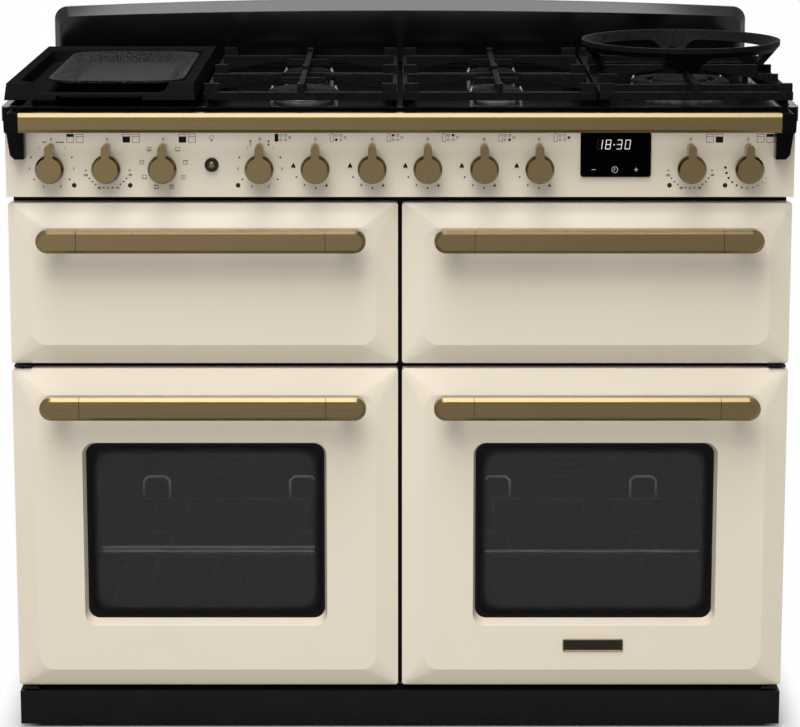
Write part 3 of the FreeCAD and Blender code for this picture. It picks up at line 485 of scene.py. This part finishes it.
# A flame's outline: a drop with a notched foot, in half widths and heights from its middle.
FLAME = ((-0.9, -0.5), (-1, -0.1), (-0.45, 0.2), (0.1, 0.5), (0.5, 0.2), (1, -0.1),
         (0.9, -0.5), (0.25, -0.3), (-0.25, -0.3))
FLAME_SLIM = 0.34               # a flame's half width for each millimetre of its height


class Print:
    """Flat shapes on an upright face, drawn in x and z and given a small thickness."""

    def __init__(self, y, thickness=INK):
        self.y, self.thickness, self.build = y, thickness, bmesh.new()

    def fill(self, points):
        front = [self.build.verts.new(row(x, self.y - self.thickness, z)) for x, z in points]
        back = [self.build.verts.new(row(x, self.y, z)) for x, z in points]
        self.build.faces.new(front)
        self.build.faces.new(back[::-1])
        for i, vert in enumerate(front):
            j = (i + 1) % len(front)
            self.build.faces.new((vert, back[i], back[j], front[j]))

    def bar(self, x0, x1, z0, z1):
        self.fill([(x0, z0), (x1, z0), (x1, z1), (x0, z1)])

    def dot(self, x, z, r, sides=16):
        self.fill([(x + r * math.cos(t), z + r * math.sin(t)) for t in turns(sides)])

    def ring(self, x, z, r, width, tall=1.0):
        """A ring whose height is tall times its width."""
        angles = turns(20)
        for a, b in zip(angles, [*angles[1:], 2 * math.pi]):
            corners = ((r, a), (r, b), (r - width, b), (r - width, a))
            self.fill([(x + d * math.cos(t), z + tall * d * math.sin(t)) for d, t in corners])

    def stroke(self, x0, z0, x1, z1, width):
        along = Vector((x1 - x0, z1 - z0)).normalized() * width / 2
        nx, nz = -along.y, along.x
        self.fill([(x0 + nx, z0 + nz), (x0 - nx, z0 - nz), (x1 - nx, z1 - nz), (x1 + nx, z1 + nz)])

    def frame(self, x0, x1, z0, z1, width=ICON_LINE):
        self.bar(x0, x1, z0, z0 + width)
        self.bar(x0, x1, z1 - width, z1)
        self.bar(x0, x0 + width, z0 + width, z1 - width)
        self.bar(x1 - width, x1, z0 + width, z1 - width)

    def flame(self, x, z, height):
        half = height * FLAME_SLIM
        self.fill([(x + half * dx, z + height * dz) for dx, dz in FLAME])

    def digit(self, x, z, width, height, character, line, lean=0.0):
        """A digit of up to seven strokes, from x at its left and z at its middle."""
        for key in DIGITS[character]:
            ends = []
            for dx, dz in STROKES[key]:
                up = dz * height / 2
                ends += [x + dx * width + lean * up, z + up]
            self.stroke(*ends, line)

    def number(self, x, z, text, height):
        """Plain numerals, centred on x and z."""
        width, gap, line = height * 0.5, height * 0.22, height * 0.2
        left = x - (len(text) * width + (len(text) - 1) * gap) / 2
        for i, character in enumerate(text):
            self.digit(left + i * (width + gap), z, width, height, character, line)

    def object(self, name, material, slot_name):
        piece(name, finished_mesh(name, self.build), material, "cooker_body")


# ---- dials ----
def around(name, degrees, r=DIAL_R):
    """A point on a knob's dial, degrees clockwise from the top."""
    t = math.radians(degrees)
    return KNOB_X[name] + r * math.sin(t), DIAL_Z + r * math.cos(t)


def level_dial(dials, name):
    """Levels 1 to 3 on both sides, with dots between them."""
    first, step = 36.5, 30.2    # degrees
    for side in (-1, 1):
        for i, text in enumerate(("1", None, "2", None, "3")):
            x, z = around(name, side * (first + step * i))
            if text:
                dials.number(x, z, text, height=3.0)
            else:
                dials.dot(x, z, DOT_R)


def temperature_dial(dials, name):
    """Dots below the knob, every fourth one a temperature."""
    temperatures = {1: "100", 5: "140", 9: "180", 13: "220"}
    first, step = 101, 11.25    # degrees
    for i in range(15):
        angle = first + step * i
        if i in temperatures:
            dials.number(*around(name, angle, NUMBER_R), temperatures[i], height=2.6)
        else:
            dials.dot(*around(name, angle), FINE_DOT_R)


def flame_dial(dials, name):
    """A large flame at the left, three dots below the knob and a small flame at the right."""
    dials.flame(*around(name, 271), height=8.6)
    for angle in (240, 210, 180):
        dials.dot(*around(name, angle), DOT_R)
    dials.flame(*around(name, 151), height=5.0)


def growing_dial(dials, name):
    """Dots that grow clockwise up to the left, read as low to high."""
    last, step = 266, 14.3      # degrees
    largest, shrink = 1.9, 0.13
    for i in range(11):
        dials.dot(*around(name, last - step * i), largest - shrink * i)


def function_dial(dials, name):
    """Eight small oven signs, forty degrees apart: boxes with bars for heat and a dot for the fan."""
    half_wide, half_high, half_bar = 3.1, 2.9, 2.1
    lower_bar, upper_bar = (-2.0, -1.4), (1.3, 1.9)
    for i in range(8):
        x, z = around(name, 40 * (i + 1))
        dials.frame(x - half_wide, x + half_wide, z - half_high, z + half_high)
        for shown, (low, high) in (((0, 4, 5, 7), lower_bar), ((1, 3, 4), upper_bar)):
            if i in shown:
                dials.bar(x - half_bar, x + half_bar, z + low, z + high)
        if i in (2, 3, 6, 7):
            dials.dot(x, z, 0.9, sides=8)


def compartments(dials, x, column, cell):
    """Two tall boxes for the two sides, with one side's upper or lower cell filled."""
    low, high, split = DIAL_Z + 33.0, DIAL_Z + 45.1, DIAL_Z + 41.2
    cells = {"upper": (split, high - ICON_INSET), "lower": (low + ICON_INSET, split)}
    wide, pitch, half_line = 10.3, 13.3, 0.28
    for i in range(2):
        x0 = x + pitch * i
        x1 = x0 + wide
        dials.frame(x0, x1, low, high)
        dials.bar(x0, x1, split - half_line, split + half_line)
        if i == column:
            dials.bar(x0 + ICON_INSET, x1 - ICON_INSET, *cells[cell])


def hob_plan(dials, x, filled):
    """The griddle as a box and five burners as circles; filled is the zone's number."""
    low, high, wide = DIAL_Z + 34.3, DIAL_Z + 45.4, 5.2
    dials.frame(x, x + wide, low, high)
    if filled == 0:
        dials.bar(x + ICON_INSET, x + wide - ICON_INSET, low + ICON_INSET, high - ICON_INSET)
    burners = ((8.6, 2.6), (8.6, 8.9), (15.0, 8.9), (15.0, 2.6), (20.8, 5.7))
    for i, (dx, dz) in enumerate(burners):
        if filled == i + 1:
            dials.dot(x + dx, low + dz, 1.95)
        else:
            dials.ring(x + dx, low + dz, 1.9, BURNER_LINE)


def element_signs(dials):
    """The tiny signs beside the zero marks of the grill and griddle knobs."""
    pitch, rise, r = 2.8, 33.3, 1.1
    x = KNOB_X["knob_grill"]
    for side, count in ((1, 4), (-1, 2)):
        for i in range(count):
            dials.dot(x + side * (7.8 + pitch * i), DIAL_Z + rise, r, sides=10)
    x, r = KNOB_X["knob_griddle"], 1.4
    for dx, dz in ((12.2, 34.9), (12.2, 30.2), (-13.0, 34.9)):
        dials.dot(x + dx, DIAL_Z + dz, r, sides=10)
    dials.frame(x - 14.1, x - 11.9, DIAL_Z + 28.2, DIAL_Z + 32.4, 0.45)


def lamp_sign(dials, x, z):
    """A bulb over its cap."""
    dials.ring(x, z + 0.8, 3.1, BURNER_LINE)
    dials.frame(x - 1.2, x + 1.2, z - 4.3, z - 2.0, BURNER_LINE)


def print_dials():
    dials = Print(PANEL_FACE)
    for x in KNOB_X.values():
        dials.ring(x, DIAL_Z + ZERO_RISE, 1.65, width=0.65, tall=1.25)
    for name in ("knob_grill", "knob_griddle"):
        level_dial(dials, name)
    element_signs(dials)
    for name in ("knob_left_temperature", "knob_right_temperature"):
        temperature_dial(dials, name)
    function_dial(dials, "knob_left_function")
    growing_dial(dials, "knob_slow_cook")
    for zone in range(1, 6):
        name = "knob_burner_%d" % zone
        flame_dial(dials, name)
        hob_plan(dials, KNOB_X[name] + ZONE_ICON_X, zone)
    hob_plan(dials, KNOB_X["knob_griddle"] + GRIDDLE_ICON_X, 0)
    compartments(dials, KNOB_X["knob_grill"] + OVEN_ICON_X, 0, "upper")
    compartments(dials, KNOB_X["knob_left_temperature"] + OVEN_ICON_X, 0, "lower")
    compartments(dials, KNOB_X["knob_left_function"] + OVEN_ICON_X, 0, "lower")
    compartments(dials, KNOB_X["knob_right_temperature"] + OVEN_ICON_X, 1, "lower")
    compartments(dials, KNOB_X["knob_slow_cook"] + SLOW_COOK_ICON_X, 1, "upper")
    lamp_sign(dials, middle_x(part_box("light_button")), DIAL_Z + 39.0)
    dials.object("printed_dials", ink, "black_satin_paint")


def clock_face():
    """White digits over dim unlit ones, and three touch signs below."""
    middle = DIAL_Z + DIGIT_RISE
    dim = Print(GLASS_FACE, 0.05)
    lit = Print(GLASS_FACE, 0.2)
    for start, character in zip(DIGIT_STARTS, "1830"):
        shape = (CLOCK_X + start, middle, DIGIT_WIDE, DIGIT_HIGH)
        dim.digit(*shape, "8", CLOCK_STROKE, DIGIT_LEAN)
        lit.digit(*shape, character, CLOCK_STROKE, DIGIT_LEAN)
    lit.dot(CLOCK_X - 2.6, middle - 0.3, 0.95)
    touch_signs(lit, DIAL_Z - TOUCH_DROP)
    dim.object("clock_unlit_digits", dim_light, "display_glass")
    lit.object("clock_lit_digits", white_light, "display_glass")


def touch_signs(lit, z):
    """Minus, clock and plus."""
    minus_x, dial_x, plus_x, half = CLOCK_X - 30.4, CLOCK_X - 1.2, CLOCK_X + 28.4, 2.8
    lit.stroke(minus_x - half, z, minus_x + half, z, TOUCH_LINE)
    lit.stroke(plus_x - half, z, plus_x + half, z, TOUCH_LINE)
    lit.stroke(plus_x, z - half, plus_x, z + half, TOUCH_LINE)
    lit.ring(dial_x, z, 4.3, TOUCH_LINE)
    for dx, dz in ((0, 2.6), (-1.4, -1.0)):
        lit.stroke(dial_x, z, dial_x + dx, z + dz, TOUCH_LINE)


# ---- neon lenses, badge, handle seams of painted shade and window borders of print and painted shade ----
def dome(build, x, y, z, r, rise, rings=5, sides=24):
    """A shallow lens standing out of the plane y towards the front."""
    rows = []
    for i in range(rings):
        t = math.pi / 2 * i / rings
        wide, out = r * math.cos(t), rise * math.sin(t)
        rows.append([build.verts.new(row(x + wide * math.cos(a), y - out, z + wide * math.sin(a)))
                     for a in turns(sides)])
    bridge(build, rows)
    tip = build.verts.new(row(x, y - rise, z))
    for k in range(sides):
        build.faces.new((rows[-1][k], rows[-1][(k + 1) % sides], tip))
    build.faces.new(rows[0][::-1])


def neon_lamps():
    build = bmesh.new()
    for x in NEON_X:
        dome(build, x, PANEL_FACE, NEON_Z, NEON_R, NEON_RISE)
    mesh = finished_mesh("neon_lamps", build)
    mesh.shade_smooth()
    lens = moulded("neon_lens", colour(30, 27, 28), 0.2)
    piece("neon_lamps", mesh, lens, "cooker_body")


def bare_badge():
    """A small blank plate with a raised brass rim."""
    x0, x1, z0, z1 = BADGE
    build = bmesh.new()
    loops = []
    for inset, y in BADGE_PROFILE:
        corner = BADGE_R - inset * 0.6
        outline = rounded_outline(x0 + inset, x1 - inset, z0 + inset, z1 - inset, corner, steps=3)
        loops.append([build.verts.new(row(x, y, z)) for x, z in outline])
    bridge(build, loops)
    field = build.faces.new(loops[-1])
    field.material_index = 1
    build.faces.new(loops[0][::-1])
    mesh = finished_mesh("badge_plate", build)
    plate = piece("badge_plate", mesh, finish["brushed_brass"], "right_oven_door")
    plate.data.materials.append(printed("badge_field", colour(38, 34, 31), roughness=0.35))


def handle_seams(name, side, z, body):
    """Dark hairlines of painted shade where a handle's bar meets its two end caps, standing for the shaded
    crevice between them.
    """
    build = bmesh.new()
    high = HANDLE_HEIGHT / 2
    flat = high - HANDLE_CHAMFER
    bends = [(HANDLE_FACE + HANDLE_CHAMFER, high), (HANDLE_FACE, flat),
             (HANDLE_FACE, -flat), (HANDLE_FACE + HANDLE_CHAMFER, -high)]
    outline = [(y - SEAM_PROUD, dz) for y, dz in bends] + [(y + SEAM_DEEP, dz) for y, dz in bends[::-1]]
    for seam in (-1, 1):
        middle = side * HANDLE_X + seam * SEAM_X
        loops = [[build.verts.new(row(middle + half, y, z + dz)) for y, dz in outline]
                 for half in (-SEAM_WIDTH / 2, SEAM_WIDTH / 2)]
        for loop in loops:
            build.faces.new(loop)
        bridge(build, loops)
    piece(name, finished_mesh(name, build), seam_shade, body)


def glass_border(name, side, body):
    """The black print round the inner edge of an oven window, fading inwards, with the lip's shadow
    painted into the same band.
    """
    x0, x1 = sorted((side * WINDOW[0], side * WINDOW[1]))
    z0, z1 = WINDOW[2:]
    build = bmesh.new()
    fade = build.verts.layers.float.new("fade")
    loops = []
    for i in range(BORDER_BANDS + 1):
        inset = BORDER_START + BORDER_WIDTH * i / BORDER_BANDS
        corner = WINDOW_R + BORDER_EXTRA_R
        outline = rounded_outline(x0 + inset, x1 - inset, z0 + inset, z1 - inset, corner, steps=6)
        loop = [build.verts.new(row(x, BORDER_Y, z)) for x, z in outline]
        for vert in loop:
            vert[fade] = 1 - i / BORDER_BANDS
        loops.append(loop)
    bridge(build, loops)
    piece(name, finished_mesh(name, build, outwards=False), border_print_and_shade, body)


# painted shade: the fading black band is the glass's print and the window lip's shadow together
border_print_and_shade = border_material()
# painted shade: the seam lines' dark brown stands in for the shade in the crevices between the handles'
# bars and caps
seam_shade = printed("seam_shade", colour(40, 32, 20))
print_dials()
clock_face()
neon_lamps()
bare_badge()
handle_seams("drawer_handle_seams", -1, UPPER_HANDLE_Z, "grill_drawer")
handle_seams("slow_door_handle_seams", 1, UPPER_HANDLE_Z, "slow_cook_door")
handle_seams("left_door_handle_seams", -1, LOWER_HANDLE_Z, "left_oven_door")
handle_seams("right_door_handle_seams", 1, LOWER_HANDLE_Z, "right_oven_door")
glass_border("left_window_border", -1, "left_oven_door")
glass_border("right_window_border", 1, "right_oven_door")


# ---- floor and lamps, in the frame's metres, and the camera ----
WHITE = (1, 1, 1, 1)
FLOOR_R = 9.0
FOOTPRINT = (0.52, 0.3, 0)      # half of the base's plan
SHADOW_REACH = 0.08             # the floor's shadow has faded out this far from the base
SLOPE_X, SLOPE_GLOW = (-1.2, 1.2), (1.8, 0.85)      # the mirrored floor's light from left to right
SLOPE_Y = (-2.0, -4.0)          # where that slope sets in, in front of the cooker
WORLD_FILL = 0.3                # the white surroundings' light on the cooker
LAMP_AIM = (0, 0, 0.6)
LAMPS = (                       # name, place, width, height and watts
    ("key", (-0.6, -2.6, 4.2), 2.6, 2.2, 116),
    ("front", (-0.6, -3.6, 3.2), 2.6, 1.6, 32),
    ("overhead", (-0.1, -1.2, 4.8), 2.6, 1.3, 92),
)


def vector_step(paper, operation, source, vector=(0, 0, 0)):
    """A Vector Math node."""
    node = paper.add("VectorMath")
    node.operation = operation
    paper.link(source, node.inputs[0])
    node.inputs[1].default_value = vector
    return node


def studio_floor():
    """A pale disc that keeps the cooker's shadow close to it and is plain white further out."""
    bpy.ops.mesh.primitive_circle_add(vertices=96, radius=FLOOR_R, fill_type="NGON", location=(0, 0, 0))
    disc = bpy.context.object
    disc.name = "studio_floor"
    paper = Finish("studio_paper", grey(0.5), 0.9, Specular_IOR_Level=0.1)
    away = vector_step(paper, "ABSOLUTE", paper.position())
    away = vector_step(paper, "SUBTRACT", away.outputs["Vector"], FOOTPRINT)
    away = vector_step(paper, "MAXIMUM", away.outputs["Vector"])
    distance = vector_step(paper, "LENGTH", away.outputs["Vector"])
    clear = rescale(paper.tree, distance.outputs["Value"], (0, SHADOW_REACH), (0, 1), "SMOOTHSTEP")
    blend = paper.add("MixShader")
    paper.link(combine(paper.tree, "MULTIPLY", seen_rays(paper.tree), clear), blend.inputs["Fac"])
    paper.link(paper.shader.outputs[0], blend.inputs[1])
    paper.link(floor_glow(paper), blend.inputs[2])
    paper.link(blend.outputs[0], paper.tree.nodes["Material Output"].inputs["Surface"])
    disc.data.materials.append(paper.material)


def floor_glow(paper):
    """White light from the floor; mirrored in metal, its far front is stronger on the left."""
    axes = paper.add("SeparateXYZ")
    paper.link(paper.position(), axes.inputs[0])
    across = rescale(paper.tree, axes.outputs["X"], SLOPE_X, SLOPE_GLOW)
    ahead = rescale(paper.tree, axes.outputs["Y"], SLOPE_Y, (0, 1))
    mirrored = paper.add("LightPath").outputs["Is Glossy Ray"]
    level = paper.add("Mix", A=1.0)
    paper.link(combine(paper.tree, "MULTIPLY", ahead, mirrored), level.inputs["Factor"])
    paper.link(across, level.inputs["B"])
    glow = paper.add("Emission", Color=WHITE)
    paper.link(level.outputs["Result"], glow.inputs["Strength"])
    return glow.outputs[0]


def studio_world():
    """Surroundings that are seen as white and give only a fill light."""
    world = bpy.data.worlds.new("studio")
    bpy.context.scene.world = world
    world.use_nodes = True
    tree = world.node_tree
    back = tree.nodes["Background"]
    back.inputs["Color"].default_value = WHITE
    strength = rescale(tree, seen_rays(tree), (0, 1), (WORLD_FILL, 1))
    tree.links.new(strength, back.inputs["Strength"])


def softbox(name, place, width, height, watts):
    lamp = bpy.data.lights.new(name, "AREA")
    lamp.shape = "RECTANGLE"
    lamp.size, lamp.size_y, lamp.energy = width, height, watts
    made = bpy.data.objects.new(name, lamp)
    bpy.context.scene.collection.objects.link(made)
    made.location = place
    made.rotation_euler = (Vector(LAMP_AIM) - Vector(place)).to_track_quat("-Z", "Y").to_euler()
    made.visible_camera = False


def place_camera():
    lens = bpy.data.cameras.new("camera")
    lens.sensor_width, lens.lens, lens.shift_y = SENSOR, LENS, LENS_SHIFT
    lens.clip_end = VIEW_END
    made = bpy.data.objects.new("camera", lens)
    bpy.context.scene.collection.objects.link(made)
    tilt = Matrix.Rotation(math.pi / 2 - CAMERA_PITCH, 4, "X")
    made.matrix_world = Matrix.Translation(row(*CAMERA_PLACE)) @ tilt
    bpy.context.scene.camera = made


studio_floor()
studio_world()
for lamp_values in LAMPS:
    softbox(*lamp_values)
place_camera()
bpy.context.scene.view_settings.view_transform = "Standard"
